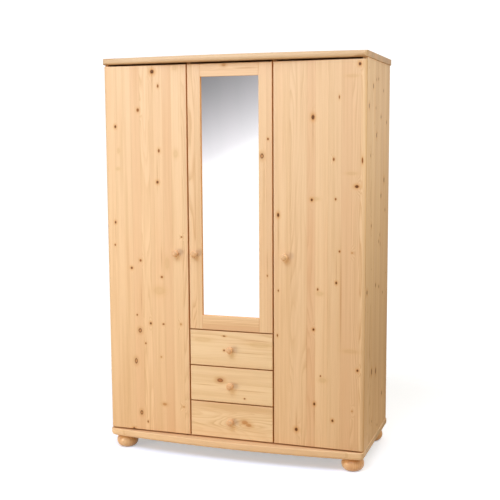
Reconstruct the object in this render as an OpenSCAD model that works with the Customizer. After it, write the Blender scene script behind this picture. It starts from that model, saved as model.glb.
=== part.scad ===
// Three-door wardrobe of solid pine with a mirror door, three drawers, bun feet
// and a top and a base whose front edges are bowed.
// Frame: origin on the floor below the middle of the bounding box, +X to the
// right as one faces the doors, -Y to the front, +Z up. Millimetres.

/* [Overall] */
// Width over the two outer doors
body_w = 1330; // [1250:10:1450]
// Height from the floor to the face of the top
total_h = 2000; // [1950:10:2100]
// Depth from the face of the doors to the back edge of the sides
body_d = 600; // [540:10:620]

/* [Top and base] */
// Thickness of the top
top_t = 30; // [26:1:34]
// Thickness of the base
base_t = 39; // [36:1:44]
// Height of the bun feet
foot_h = 70; // [66:1:80]
// Rise of the bowed front edge at mid width
bow = 44; // [30:1:50]
// Overhang of the front edge before the doors, at the corners
front_lip = 4; // [3:1:8]
// Overhang of the top past each side
top_lip = 6; // [4:1:10]
// Overhang of the base past each side
base_lip = 4; // [3:1:4]
// Radius of the front corners of the top and base, seen from above
plan_corner_r = 26; // [22:1:30]

/* [Panels] */
// Thickness of the sides and partitions
panel_t = 22; // [20:1:24]
// Thickness of the shelves
shelf_t = 18; // [16:1:20]
// Thickness of the back panels
back_t = 5; // [4:1:6]

/* [Doors] */
// Thickness of the doors and drawer fronts
door_t = 22; // [21:1:23]
// Width of the mirror door and the drawer fronts
middle_w = 432; // [400:2:440]
// Gap between two doors
door_gap = 5; // [4.5:0.5:6]
// Gap between the top and the doors
top_gap = 9; // [7:0.5:10]
// Gap between the base and the doors
base_gap = 5.5; // [4:0.5:7]
// Air between the back of a door and the edge of the carcass
back_gap = 3.5; // [3.5:0.1:4]
// Radius of the outer vertical edges of the outer doors
outer_edge_r = 19; // [14:1:20]
// Radius of the other vertical edges
edge_r = 5; // [4.5:0.5:6]
// Height of the door knobs above the floor
knob_z = 1040; // [950:10:1150]
// Width of the stiles of the mirror door
stile_w = 68; // [64:1:76]
// Height of its top rail
rail_top_h = 61; // [55:1:75]
// Height of its bottom rail
rail_low_h = 71; // [60:1:80]

/* [Drawers] */
// Height of each drawer front
drawer_h = 178; // [170:1:184]
// Gap between drawer fronts
drawer_gap = 4.5; // [4:0.5:6]
// Length of the drawer sides
drawer_len = 460; // [400:10:480]

/* [Hidden] */
$fn = 48;

// Colours
pine = [0.93, 0.79, 0.59];
pine_dark = [0.86, 0.68, 0.46];
beech = [0.85, 0.66, 0.47];
plywood = [0.88, 0.76, 0.58];
steel = [0.75, 0.76, 0.78];
dark_steel = [0.45, 0.46, 0.48];
plastic = [0.93, 0.92, 0.88];
silver = [0.82, 0.85, 0.88];

// Planes of the carcass
back_y = (body_d + front_lip + bow) / 2;
door_y = back_y - body_d;
apex_y = -back_y;
carcass_y = door_y + door_t + back_gap;
base_z = foot_h;
floor_z = foot_h + base_t;
roof_z = total_h - top_t;
half_w = body_w / 2;
side_in = half_w - panel_t;
middle_x = middle_w / 2;
part_x = middle_x + door_gap / 2;
part_in = part_x - panel_t / 2;
part_out = part_x + panel_t / 2;
rebate_w = 8;
rebate_d = 6;
back_face_y = back_y - rebate_d;

// The bow of the top and base: a circle arc through the corners and the apex
top_half = half_w + top_lip;
base_half = half_w + base_lip;
bow_r = round((top_half * top_half + bow * bow) / (2 * bow));
bow_center_y = apex_y + bow_r;
top_nose_r = top_t / 2 - 0.5;
top_side_r = 2.5;
base_nose_low_r = 17;
base_nose_high_r = 5;

// Doors
outer_w = half_w - part_x - door_gap / 2;
door_z0 = floor_z + base_gap;
door_z1 = roof_z - top_gap;
door_back_y = door_y + door_t;
soft_r = 3;
drawer_z = [for (i = [0:2]) door_z0 + (2 - i) * (drawer_h + drawer_gap)];
mirror_z0 = drawer_z[0] + drawer_h + drawer_gap;
divider_z = mirror_z0 - drawer_gap / 2 - shelf_t / 2;

// Concealed hinges: u runs from the hinge edge of the door, v from its face
cup_r = 17.5;
cup_wall = 0.8;
cup_depth = 13.3;
cup_u = 22.5;
cup_flange_t = 1.2;
cup_flange_r = 18.5;
ear_u = 32;
ear_z = 24;
pin_u = 9.8;
pin_v = 12.5;
pin_r = 1.2;
pin_len = 22.8;
eye_r = 2.5;
eye_h = 9;
eye_bore_r = 1.25;
arm_t = 1.6;
arm_u = 25;
arm_h = 14;
arm_end_v = 74;
crank_v = 28;
plate_t = 3;
plate_v = 36;
plate_len = 34;
plate_h = 48;
hinge_inset = 100;
outer_hinge_z = [for (i = [0:3])
    door_z0 + hinge_inset + i * (door_z1 - door_z0 - 2 * hinge_inset) / 3];
mirror_hinge_z = [for (i = [0:2])
    mirror_z0 + hinge_inset + i * (door_z1 - mirror_z0 - 2 * hinge_inset) / 2];

// Fasteners
screw_r = 1.8;
screw_head_r = 3.5;
bolt_r = 2;
knob_screw_in = 15;
knob_head_r = 4;

// Knobs
knob_r = 17;
knob_ball_r = 13;
knob_len = 38;
knob_inset = 60;

// Catches
catch_w = 14;
catch_d = 18;
catch_h = 60;
catch_out = 1.8;
catch_z_outer = [560, 1430];
catch_z_mirror = [900, 1700];

// Mirror
rebate_v = 10;
glass_t = 4;
backing_t = 3;
mirror_rebate = 10;
glass_play = 1;
tenon_l = 30;
tenon_t = 8;
tenon_v = 7;
tenon_shoulder = 10;

// Interior
shelf_front_y = carcass_y + 24;
shelf_play = 1;
hat_shelf_z = 1640;
center_shelf_z = [1080, 1500];
right_shelf_z = [470, 830, 1190, 1550];
shelf_pin_r = 2.5;
shelf_pin_in = 8;
shelf_pin_out = 10;
shelf_pin_y = [shelf_front_y + 35, back_face_y - 50];
rail_r = 12.5;
rail_z = 1560;
rail_y = 35;
socket_t = 4;
socket_l = 14;
socket_r = 20;
dowel_r = 4;
dowel_up = 14;
dowel_down = 16;
dowel_y = [carcass_y + 40, 35, back_face_y - 40];

// Glue line between two pieces of one frame
joint_play = 0.1;

// Drawer box
box_out = part_in - 1;
box_side_t = 14;
box_side_h = 132;
box_lift = 22;
groove_d = 8.5;
groove_h = 17;
groove_z = 58;
runner_w = 9;
runner_h = 16;
runner_y0 = carcass_y + 5;
runner_len = 450;
runner_screw_y = [40, 225, 410];
bottom_t = 5;
bottom_lift = 32;
bottom_in = 6;

// Feet
foot_r = 56;
foot_inset = 62;
foot_bolt_r = 4;
foot_bolt_down = 30;
foot_bolt_up = 25;
foot_x = half_w - foot_inset;
foot_y = [door_y + foot_inset, back_y - foot_inset];

// Door battens
batten_t = 18;
batten_h = 60;
batten_u0 = 60;
batten_u1 = outer_w - 29;
batten_z = [330, 950, 1740];

// ---------------------------------------------------------------- shapes

// What is cut from a square corner at the origin to round it
module corner_nick(r) {
    if (r > 0) difference() {
        translate([-1, -1]) square(r + 1);
        translate([r, r]) circle(r);
    }
}

// A rectangle with its own radius at each corner: near left, near right,
// far left, far right
module rounded_rect(w, d, r_nl, r_nr, r_fl, r_fr) {
    difference() {
        square([w, d]);
        corner_nick(r_nl);
        translate([w, 0]) mirror([1, 0]) corner_nick(r_nr);
        translate([0, d]) mirror([0, 1]) corner_nick(r_fl);
        translate([w, d]) rotate(180) corner_nick(r_fr);
    }
}

// A board from x0 to x1 and z0 to z1 in the plane of the doors, its front
// vertical edges rounded by r_left and r_right and the others eased
module front_board(x0, x1, z0, z1, r_left, r_right, r_low = soft_r, r_high = soft_r) {
    intersection() {
        translate([x0, door_y, z0]) linear_extrude(z1 - z0)
            rounded_rect(x1 - x0, door_t, r_left, r_right, soft_r, soft_r);
        translate([x0 - 1, door_y, z0]) rotate([90, 0, 90]) linear_extrude(x1 - x0 + 2)
            rounded_rect(door_t, z1 - z0, r_low, 1, r_high, 1);
    }
}

// Section of a moulded edge: it ends at x = 0 and reaches len inwards
module edge_section(len, t, r_low, r_high) {
    difference() {
        translate([-len, 0]) square([len, t]);
        mirror([1, 0]) corner_nick(r_low);
        translate([0, t]) rotate(180) corner_nick(r_high);
    }
}

// Plate with a bowed front, rounded corners and a moulded edge at the front
// and sides
module bowed_plate(plate_half, t, r_low, r_high) {
    cx = plate_half - plan_corner_r;
    cy = bow_center_y - sqrt(pow(bow_r - plan_corner_r, 2) - cx * cx);
    half_angle = asin(cx / (bow_r - plan_corner_r));
    front_strip = bow + plan_corner_r + 10;
    union() {
        for (s = [0, 1]) mirror([s, 0, 0]) {
            translate([0, bow_center_y, 0]) rotate([0, 0, -90])
                rotate_extrude(angle = half_angle, $fn = 256)
                    translate([bow_r, 0]) edge_section(front_strip, t, r_low, r_high);
            translate([cx, cy, 0]) rotate_extrude(angle = half_angle - 90)
                translate([plan_corner_r, 0])
                    edge_section(plan_corner_r, t, r_low, r_high);
            translate([plate_half, back_y, 0]) rotate([90, 0, 0])
                linear_extrude(back_y - cy)
                    edge_section(2 * plan_corner_r, t, r_low, r_high);
        }
        translate([-cx, cy, 0]) cube([2 * cx, back_y - cy, t]);
    }
}

// Plate with the same bow at the front, a moulded front edge, and sides that are
// cut off square and only eased
module square_ended_plate(plate_half, t, r_low, r_high, r_side) {
    slab_d = back_y - apex_y + 60;
    slab_angle = asin((plate_half + 10) / (bow_r - slab_d));
    cx = plate_half - plan_corner_r;
    cy = bow_center_y - sqrt(pow(bow_r - plan_corner_r, 2) - cx * cx);
    difference() {
        intersection() {
            translate([0, bow_center_y, 0]) rotate([0, 0, -90 - slab_angle])
                rotate_extrude(angle = 2 * slab_angle, $fn = 256)
                    translate([bow_r, 0]) edge_section(slab_d, t, r_low, r_high);
            translate([-plate_half, back_y, 0]) rotate([90, 0, 0])
                linear_extrude(slab_d)
                    rounded_rect(2 * plate_half, t, r_side, r_side, r_side, r_side);
        }
        both_sides() translate([cx, cy, -1]) linear_extrude(t + 2) difference() {
            translate([0, -2 * plan_corner_r]) square(2 * plan_corner_r);
            circle(plan_corner_r + 0.3);
        }
    }
}

// Box between two corners
module block(low, high) {
    translate(low) cube(high - low);
}

// Rod along +X, +Y or +Z from a point
module rod_x(p, r, len) { translate(p) rotate([0, 90, 0]) cylinder(r = r, h = len); }
module rod_y(p, r, len) { translate(p) rotate([-90, 0, 0]) cylinder(r = r, h = len); }
module rod_z(p, r, len) { translate(p) cylinder(r = r, h = len); }

// ------------------------------------------------------- repeated places

// Children on both sides of the middle plane
module both_sides() {
    children();
    mirror([1, 0, 0]) children();
}

// Children at each hinge of a door, in the u, v frame of its hinge edge
module at_hinges(edge_x, heights, right_hand) {
    for (z = heights) translate([edge_x, door_y, z]) mirror([right_hand ? 1 : 0, 0, 0])
        children();
}

module at_left_hinges() { at_hinges(-half_w, outer_hinge_z, false) children(); }
module at_right_hinges() { at_hinges(half_w, outer_hinge_z, true) children(); }
module at_mirror_hinges() { at_hinges(middle_x, mirror_hinge_z, true) children(); }

// Dowels that join the top and the base to the four upright panels
module dowels_at(x) {
    for (y = dowel_y) {
        rod_z([x, y, roof_z - dowel_down], dowel_r, dowel_down + dowel_up);
        rod_z([x, y, floor_z - dowel_up], dowel_r, dowel_down + dowel_up);
    }
}

// Pins under a row of shelves, out of the panel face at x, towards dir
module pins_at(x, heights, dir) {
    for (z = heights, y = shelf_pin_y) {
        x0 = dir > 0 ? x - shelf_pin_in : x - shelf_pin_out;
        rod_x([x0, y, z - shelf_pin_r], shelf_pin_r, shelf_pin_in + shelf_pin_out);
    }
}

// Screws of one hinge plate, in the hinge frame, with the panel face at u = face_u
module plate_screws(face_u) {
    for (s = [-1, 1]) {
        rod_x([face_u - 14, plate_v + plate_len / 2, s * 18], bolt_r, 14 + plate_t);
        rod_x([face_u + plate_t, plate_v + plate_len / 2, s * 18], screw_head_r, 1.6);
    }
    rod_x([face_u, plate_v + 26, 0], bolt_r, plate_t + arm_t);
    rod_x([face_u + plate_t + arm_t, plate_v + 26, 0], screw_head_r, 1.6);
}

// Runners of one drawer are at this height
function runner_z(i) = drawer_z[i] + box_lift + groove_z;

// Screws of the runners on the right partition
module runner_screws_right() {
    for (i = [0:2], y = runner_screw_y) {
        p = [part_in - runner_w, runner_y0 + y, runner_z(i) + groove_h / 2];
        rod_x(p, screw_head_r, 2.5);
        rod_x(p + [2.5, 0, 0], screw_r, runner_w - 2.5 + 11);
    }
}

// Screws that hold one back panel, near its vertical edges at x0 and x1
module back_screw_rows(x0, x1) {
    for (x = [x0, x1], i = [0:4]) {
        z = floor_z + 60 + i * (roof_z - floor_z - 120) / 4;
        rod_y([x, back_face_y - 12, z], 1.2, 12 + back_t);
        rod_y([x, back_face_y + back_t, z], 2.8, 0.8);
    }
}

module all_back_screws() {
    back_screw_rows(-part_x + 5, part_x - 5);
    both_sides() back_screw_rows(part_x + 5, side_in + rebate_w / 2);
}

// -------------------------------------------------------------- carcass

module top_panel() {
    color(pine) difference() {
        translate([0, 0, roof_z])
            square_ended_plate(top_half, top_t, top_nose_r, top_nose_r, top_side_r);
        both_sides() {
            dowels_at(half_w - panel_t / 2);
            dowels_at(part_x);
        }
    }
}

module base_panel() {
    color(pine) difference() {
        translate([0, 0, base_z])
            bowed_plate(base_half, base_t, base_nose_low_r, base_nose_high_r);
        both_sides() {
            dowels_at(half_w - panel_t / 2);
            dowels_at(part_x);
        }
        foot_bolts_plain();
    }
}

// The right side; the left one is its mirror image but for the shelf pins
module side_blank() {
    difference() {
        block([side_in, carcass_y, floor_z], [half_w, back_y, roof_z]);
        block([side_in - 1, back_face_y, floor_z - 1],
              [side_in + rebate_w, back_y + 1, roof_z + 1]);
        dowels_at(half_w - panel_t / 2);
        at_right_hinges() plate_screws(panel_t);
        all_back_screws();
    }
}

module side_panel_right() {
    color(pine) difference() {
        side_blank();
        pins_at(side_in, right_shelf_z, -1);
    }
}

module side_panel_left() {
    color(pine) difference() {
        mirror([1, 0, 0]) side_blank();
        pins_at(-side_in, [hat_shelf_z], 1);
    }
}

// The right partition before its hinge holes and outer pins
module partition_blank() {
    difference() {
        block([part_in, carcass_y, floor_z], [part_out, back_face_y, roof_z]);
        dowels_at(part_x);
        pins_at(part_in, center_shelf_z, -1);
        runner_screws_right();
        all_back_screws();
    }
}

module partition_right() {
    color(pine) difference() {
        partition_blank();
        pins_at(part_out, right_shelf_z, 1);
        at_mirror_hinges() plate_screws(middle_x - part_in);
    }
}

module partition_left() {
    color(pine) difference() {
        mirror([1, 0, 0]) partition_blank();
        pins_at(-part_out, [hat_shelf_z], -1);
    }
}

module back_panels() {
    color(plywood) difference() {
        union() {
            back_sheet(-part_x + 0.5, part_x - 0.5);
            both_sides() back_sheet(part_x + 0.5, side_in + rebate_w - 0.5);
        }
        all_back_screws();
    }
}

module back_sheet(x0, x1) {
    block([x0, back_face_y, floor_z + 0.5], [x1, back_face_y + back_t, roof_z - 0.5]);
}

module back_screws() {
    color(steel) all_back_screws();
}

module drawer_divider() {
    color(pine) block([-part_in, carcass_y, divider_z],
                      [part_in, back_face_y, divider_z + shelf_t]);
}

// Loose shelf between two panel faces, its front edges eased
module shelf(x0, x1, z) {
    translate([x0 + shelf_play, shelf_front_y, z]) rotate([90, 0, 90])
        linear_extrude(x1 - x0 - 2 * shelf_play)
            rounded_rect(back_face_y - 2 - shelf_front_y, shelf_t, 2, 0, 2, 0);
}

module hat_shelf() {
    color(pine) shelf(-side_in, -part_out, hat_shelf_z);
}

module shelves_center() {
    color(pine) for (z = center_shelf_z) shelf(-part_in, part_in, z);
}

module shelves_right() {
    color(pine) for (z = right_shelf_z) shelf(part_out, side_in, z);
}

module shelf_pins() {
    color(steel) {
        pins_at(-side_in, [hat_shelf_z], 1);
        pins_at(-part_out, [hat_shelf_z], -1);
        pins_at(-part_in, center_shelf_z, 1);
        pins_at(part_in, center_shelf_z, -1);
        pins_at(part_out, right_shelf_z, 1);
        pins_at(side_in, right_shelf_z, -1);
    }
}

module clothes_rail() {
    len = side_in - part_out - 2 * socket_t;
    color(steel) difference() {
        rod_x([-side_in + socket_t, rail_y, rail_z], rail_r, len);
        rod_x([-side_in + socket_t - 1, rail_y, rail_z], rail_r - 1, len + 2);
    }
}

// Socket on the left side; the one on the partition faces it
module rail_socket() {
    difference() {
        union() {
            rod_x([0, 0, 0], socket_r, socket_t);
            rod_x([0, 0, 0], rail_r + 3, socket_l);
        }
        rod_x([socket_t, 0, 0], rail_r, socket_l);
    }
}

module rail_sockets() {
    color(steel) {
        translate([-side_in, rail_y, rail_z]) rail_socket();
        translate([-part_out, rail_y, rail_z]) mirror([1, 0, 0]) rail_socket();
    }
}

module carcass_dowels() {
    color(beech) both_sides() {
        dowels_at(half_w - panel_t / 2);
        dowels_at(part_x);
    }
}

// Turned foot: a ball flattened to the foot's height
module bun_foot() {
    ball_r = foot_h / 2;
    difference() {
        rotate_extrude() intersection() {
            union() {
                translate([foot_r - ball_r, ball_r]) circle(ball_r);
                square([foot_r - ball_r, foot_h]);
            }
            square([foot_r, foot_h]);
        }
        rod_z([0, 0, foot_h - foot_bolt_down], foot_bolt_r, foot_bolt_down + 1);
    }
}

module bun_feet() {
    color(pine_dark) both_sides() for (y = foot_y) translate([foot_x, y, 0]) bun_foot();
}

module foot_bolts_plain() {
    both_sides() for (y = foot_y)
        rod_z([foot_x, y, foot_h - foot_bolt_down], foot_bolt_r,
              foot_bolt_down + foot_bolt_up);
}

module foot_bolts() {
    color(steel) foot_bolts_plain();
}

module drawer_runners() {
    color(beech) both_sides() difference() {
        for (i = [0:2]) {
            z = runner_z(i) + groove_h - runner_h - 0.3;
            block([part_in - runner_w, runner_y0, z],
                  [part_in, runner_y0 + runner_len, z + runner_h]);
        }
        runner_screws_right();
    }
}

module runner_screws() {
    color(dark_steel) both_sides() runner_screws_right();
}

// ------------------------------------------------------------- hinges

// Mounting plate in the hinge frame, with the panel face at u = face_u
module hinge_plate(face_u) {
    difference() {
        union() {
            block([face_u, plate_v, -8], [face_u + plate_t, plate_v + plate_len, 8]);
            block([face_u, plate_v + 8, -plate_h / 2],
                  [face_u + plate_t, plate_v + plate_len - 8, plate_h / 2]);
        }
        plate_screws(face_u);
    }
}

module hinge_plates() {
    color(steel) {
        at_left_hinges() hinge_plate(panel_t);
        at_right_hinges() hinge_plate(panel_t);
        at_mirror_hinges() hinge_plate(middle_x - part_in);
    }
}

// Arm in the hinge frame: an eye round the pin, a leg across the cup and a
// leg back to the plate, cranked sideways where the panel face is nearer
module hinge_arm(face_u) {
    seat_u = face_u + plate_t;
    difference() {
        union() {
            rod_z([pin_u, pin_v, -eye_h / 2], eye_r, eye_h);
            block([pin_u, pin_v - arm_t / 2, -eye_h / 2],
                  [arm_u + arm_t, pin_v + arm_t / 2, eye_h / 2]);
            block([arm_u, pin_v - arm_t / 2, -eye_h / 2],
                  [arm_u + arm_t, crank_v + arm_t, eye_h / 2]);
            if (seat_u < arm_u)
                block([seat_u, crank_v, -arm_h / 2],
                      [arm_u + arm_t, crank_v + arm_t, arm_h / 2]);
            block([seat_u, crank_v, -arm_h / 2],
                  [seat_u + arm_t, arm_end_v, arm_h / 2]);
        }
        rod_z([pin_u, pin_v, -eye_h], eye_bore_r, 2 * eye_h);
        plate_screws(face_u);
    }
}

module hinge_arms() {
    color(steel) {
        at_left_hinges() hinge_arm(panel_t);
        at_right_hinges() hinge_arm(panel_t);
        at_mirror_hinges() hinge_arm(middle_x - part_in);
    }
}

module hinge_screws() {
    color(dark_steel) {
        at_left_hinges() plate_screws(panel_t);
        at_right_hinges() plate_screws(panel_t);
        at_mirror_hinges() plate_screws(middle_x - part_in);
    }
}

// What a hinge takes out of the wood of a door
module cup_bore() {
    rod_y([cup_u, door_t - cup_depth, 0], cup_r, cup_depth + 1);
    ear_screws();
}

module ear_screws() {
    for (s = [-1, 1]) rod_y([ear_u, door_t - 12, s * ear_z], screw_r, 12 + cup_flange_t);
}

// Cup with its flange, its pin and its two screws
module hinge_cup() {
    difference() {
        union() {
            rod_y([cup_u, door_t - cup_depth, 0], cup_r, cup_depth);
            rod_y([cup_u, door_t, 0], cup_flange_r, cup_flange_t);
            block([ear_u - 6, door_t, -ear_z], [ear_u + 6, door_t + cup_flange_t, ear_z]);
            for (s = [-1, 1]) rod_y([ear_u, door_t, s * ear_z], 6, cup_flange_t);
        }
        rod_y([cup_u, door_t - cup_depth + cup_wall, 0], cup_r - cup_wall, cup_depth + 2);
        rod_z([pin_u, pin_v, -pin_len / 2], pin_r, pin_len);
        ear_screws();
    }
    rod_z([pin_u, pin_v, -pin_len / 2], pin_r, pin_len);
    ear_screws();
    for (s = [-1, 1])
        rod_y([ear_u, door_t + cup_flange_t, s * ear_z], screw_head_r, 1.4);
}

module magnet_catch(x, z) {
    block([x, carcass_y - catch_out, z - catch_h / 2],
          [x + catch_w, carcass_y - catch_out + catch_d, z + catch_h / 2]);
}

module magnet_catches() {
    color(plastic) {
        for (z = catch_z_outer) {
            magnet_catch(-part_out - catch_w, z);
            magnet_catch(part_out, z);
        }
        for (z = catch_z_mirror) magnet_catch(-part_in, z);
    }
}

// Steel plate on the back of a door, before a catch at x
module strike(x, z) {
    block([x + 1, door_back_y, z - 22], [x + catch_w - 1, door_back_y + 1.2, z + 22]);
}

// --------------------------------------------------------------- knobs

// Turned knob along +Z: a flattened ball on a neck with a flared foot
module knob_shape() {
    difference() {
        rotate_extrude() intersection() {
            union() {
                translate([knob_r - knob_ball_r, knob_len - knob_ball_r]) circle(knob_ball_r);
                translate([0, knob_len - 2 * knob_ball_r])
                    square([knob_r - knob_ball_r, 2 * knob_ball_r]);
                difference() {
                    square([12.5, 16]);
                    translate([15.5, 9]) circle(7.5);
                }
            }
            square([knob_r, knob_len]);
        }
        translate([0, 0, -1]) cylinder(r = bolt_r, h = knob_screw_in + 1);
    }
}

module knob_at(x, z) {
    translate([x, door_y, z]) rotate([90, 0, 0]) knob_shape();
}

// Screw through the front at x, z into its knob, its head behind
module knob_bolt(x, z) {
    rod_y([x, door_y - knob_screw_in, z], bolt_r, knob_screw_in + door_t);
    rod_y([x, door_back_y, z], knob_head_r, 2.2);
}

module knob_hole(x, z) {
    rod_y([x, door_y - 1, z], bolt_r, door_t + 2);
}

// --------------------------------------------------------- outer doors

// Left door; the right one is its mirror image
module outer_panel() {
    difference() {
        front_board(-half_w, -part_x - door_gap / 2, door_z0, door_z1,
                    outer_edge_r, edge_r);
        at_left_hinges() cup_bore();
        knob_hole(-part_x - door_gap / 2 - knob_inset, knob_z);
    }
}

module outer_battens() {
    for (z = batten_z)
        translate([-half_w + batten_u0, door_back_y, z - batten_h / 2])
            rotate([90, 0, 90]) linear_extrude(batten_u1 - batten_u0)
                rounded_rect(batten_t, batten_h, 0, 4, 0, 4);
}

module outer_knob() { knob_at(-part_x - door_gap / 2 - knob_inset, knob_z); }
module outer_knob_bolt() { knob_bolt(-part_x - door_gap / 2 - knob_inset, knob_z); }
module outer_cups() { at_left_hinges() hinge_cup(); }
module outer_strikes() { for (z = catch_z_outer) strike(-part_out - catch_w, z); }

module door_panel_left() { color(pine) outer_panel(); }
module door_battens_left() { color(pine_dark) outer_battens(); }
module door_knob_left() { color(beech) outer_knob(); }
module knob_screw_left() { color(dark_steel) outer_knob_bolt(); }
module hinge_cups_left() { color(steel) outer_cups(); }
module strike_plates_left() { color(steel) outer_strikes(); }

module door_panel_right() { color(pine) mirror([1, 0, 0]) outer_panel(); }
module door_battens_right() { color(pine_dark) mirror([1, 0, 0]) outer_battens(); }
module door_knob_right() { color(beech) mirror([1, 0, 0]) outer_knob(); }
module knob_screw_right() { color(dark_steel) mirror([1, 0, 0]) outer_knob_bolt(); }
module hinge_cups_right() { color(steel) mirror([1, 0, 0]) outer_cups(); }
module strike_plates_right() { color(steel) mirror([1, 0, 0]) outer_strikes(); }

// --------------------------------------------------------- mirror door

glass_x = middle_x - stile_w + mirror_rebate - glass_play;
glass_z0 = mirror_z0 + rail_low_h - mirror_rebate + glass_play;
glass_z1 = door_z1 - rail_top_h + mirror_rebate - glass_play;
mirror_knob_x = -middle_x + stile_w / 2;

// Room for the glass and its backing, behind the front lip of the frame
module mirror_rebate_cut() {
    block([-glass_x - glass_play, door_y + rebate_v, glass_z0 - glass_play],
          [glass_x + glass_play, door_back_y + 1, glass_z1 + glass_play]);
}

// Tenons of both rails at their right end
module rail_tenons() {
    x0 = middle_x - stile_w;
    block([x0, door_y + tenon_v, mirror_z0 + tenon_shoulder],
          [x0 + tenon_l, door_y + tenon_v + tenon_t, glass_z0 - tenon_shoulder]);
    block([x0, door_y + tenon_v, glass_z1 + tenon_shoulder],
          [x0 + tenon_l, door_y + tenon_v + tenon_t, door_z1 - tenon_shoulder]);
}

module stile_right() {
    difference() {
        front_board(middle_x - stile_w, middle_x, mirror_z0, door_z1, 1.5, edge_r);
        mirror_rebate_cut();
        rail_tenons();
    }
}

module mirror_stiles() {
    color(pine) {
        difference() {
            stile_right();
            at_mirror_hinges() cup_bore();
        }
        difference() {
            mirror([1, 0, 0]) stile_right();
            knob_hole(mirror_knob_x, knob_z);
        }
    }
}

module mirror_rails() {
    x0 = -middle_x + stile_w;
    color(pine) {
        difference() {
            union() {
                front_board(x0, -x0, mirror_z0, mirror_z0 + rail_low_h, 1.5, 1.5,
                            soft_r, 1.5);
                front_board(x0, -x0, door_z1 - rail_top_h, door_z1, 1.5, 1.5,
                            1.5, soft_r);
            }
            mirror_rebate_cut();
        }
        both_sides() rail_tenons();
    }
}

module mirror_glass() {
    color(silver) block([-glass_x, door_y + rebate_v, glass_z0],
                        [glass_x, door_y + rebate_v + glass_t, glass_z1]);
}

module mirror_backing() {
    y0 = door_y + rebate_v + glass_t;
    color(pine_dark) block([-glass_x, y0, glass_z0], [glass_x, y0 + backing_t, glass_z1]);
}

module mirror_beads() {
    y0 = door_y + rebate_v + glass_t + backing_t;
    w = mirror_rebate - glass_play;
    x1 = glass_x - w - joint_play;
    color(pine) {
        both_sides() block([glass_x - w, y0, glass_z0], [glass_x, door_back_y, glass_z1]);
        for (z = [glass_z0, glass_z1 - w])
            block([-x1, y0, z], [x1, door_back_y, z + w]);
    }
}

module mirror_knob() { color(beech) knob_at(mirror_knob_x, knob_z); }
module mirror_knob_screw() { color(dark_steel) knob_bolt(mirror_knob_x, knob_z); }
module hinge_cups_mirror() { color(steel) at_mirror_hinges() hinge_cup(); }

module strike_plates_mirror() {
    color(steel) for (z = catch_z_mirror) strike(-part_in, z);
}

// ------------------------------------------------------------- drawers

module drawer_front(i) {
    z = drawer_z[i];
    color(pine) difference() {
        front_board(-middle_x, middle_x, z, z + drawer_h, edge_r, edge_r, 4, 4);
        bottom_sheet(i);
        knob_hole(0, z + drawer_h / 2);
    }
}

// Two grooved sides and a back
module drawer_box(i) {
    z = drawer_z[i] + box_lift;
    y1 = door_back_y + drawer_len;
    back_x = box_out - box_side_t - joint_play;
    color(pine_dark) difference() {
        union() {
            both_sides() block([box_out - box_side_t, door_back_y, z],
                               [box_out, y1, z + box_side_h]);
            block([-back_x, y1 - box_side_t, drawer_z[i] + bottom_lift + bottom_t],
                  [back_x, y1, z + box_side_h - 8]);
        }
        both_sides() block([box_out - groove_d, door_back_y - 1, z + groove_z],
                           [box_out + 1, y1 + 1, z + groove_z + groove_h]);
        bottom_sheet(i);
    }
}

module bottom_sheet(i) {
    x = box_out - box_side_t + bottom_in;
    z = drawer_z[i] + bottom_lift;
    block([-x, door_back_y - bottom_in, z], [x, door_back_y + drawer_len - 2, z + bottom_t]);
}

module drawer_bottom(i) { color(plywood) bottom_sheet(i); }
module drawer_knob(i) { color(beech) knob_at(0, drawer_z[i] + drawer_h / 2); }
module drawer_knob_screw(i) { color(dark_steel) knob_bolt(0, drawer_z[i] + drawer_h / 2); }

// ----------------------------------------------------------- the nodes

top_panel();
base_panel();
side_panel_left();
side_panel_right();
partition_left();
partition_right();
back_panels();
back_screws();
drawer_divider();
hat_shelf();
shelves_center();
shelves_right();
shelf_pins();
clothes_rail();
rail_sockets();
carcass_dowels();
bun_feet();
foot_bolts();
drawer_runners();
runner_screws();
hinge_plates();
hinge_arms();
hinge_screws();
magnet_catches();
door_panel_left();
door_battens_left();
door_knob_left();
knob_screw_left();
hinge_cups_left();
strike_plates_left();
door_panel_right();
door_battens_right();
door_knob_right();
knob_screw_right();
hinge_cups_right();
strike_plates_right();
mirror_stiles();
mirror_rails();
mirror_glass();
mirror_backing();
mirror_beads();
mirror_knob();
mirror_knob_screw();
hinge_cups_mirror();
strike_plates_mirror();
drawer_front(0);  // drawer_front_1
drawer_box(0);  // drawer_box_1
drawer_bottom(0);  // drawer_bottom_1
drawer_knob(0);  // drawer_knob_1
drawer_knob_screw(0);  // drawer_knob_screw_1
drawer_front(1);  // drawer_front_2
drawer_box(1);  // drawer_box_2
drawer_bottom(1);  // drawer_bottom_2
drawer_knob(1);  // drawer_knob_2
drawer_knob_screw(1);  // drawer_knob_screw_2
drawer_front(2);  // drawer_front_3
drawer_box(2);  // drawer_box_3
drawer_bottom(2);  // drawer_bottom_3
drawer_knob(2);  // drawer_knob_3
drawer_knob_screw(2);  // drawer_knob_screw_3
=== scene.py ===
import math

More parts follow.
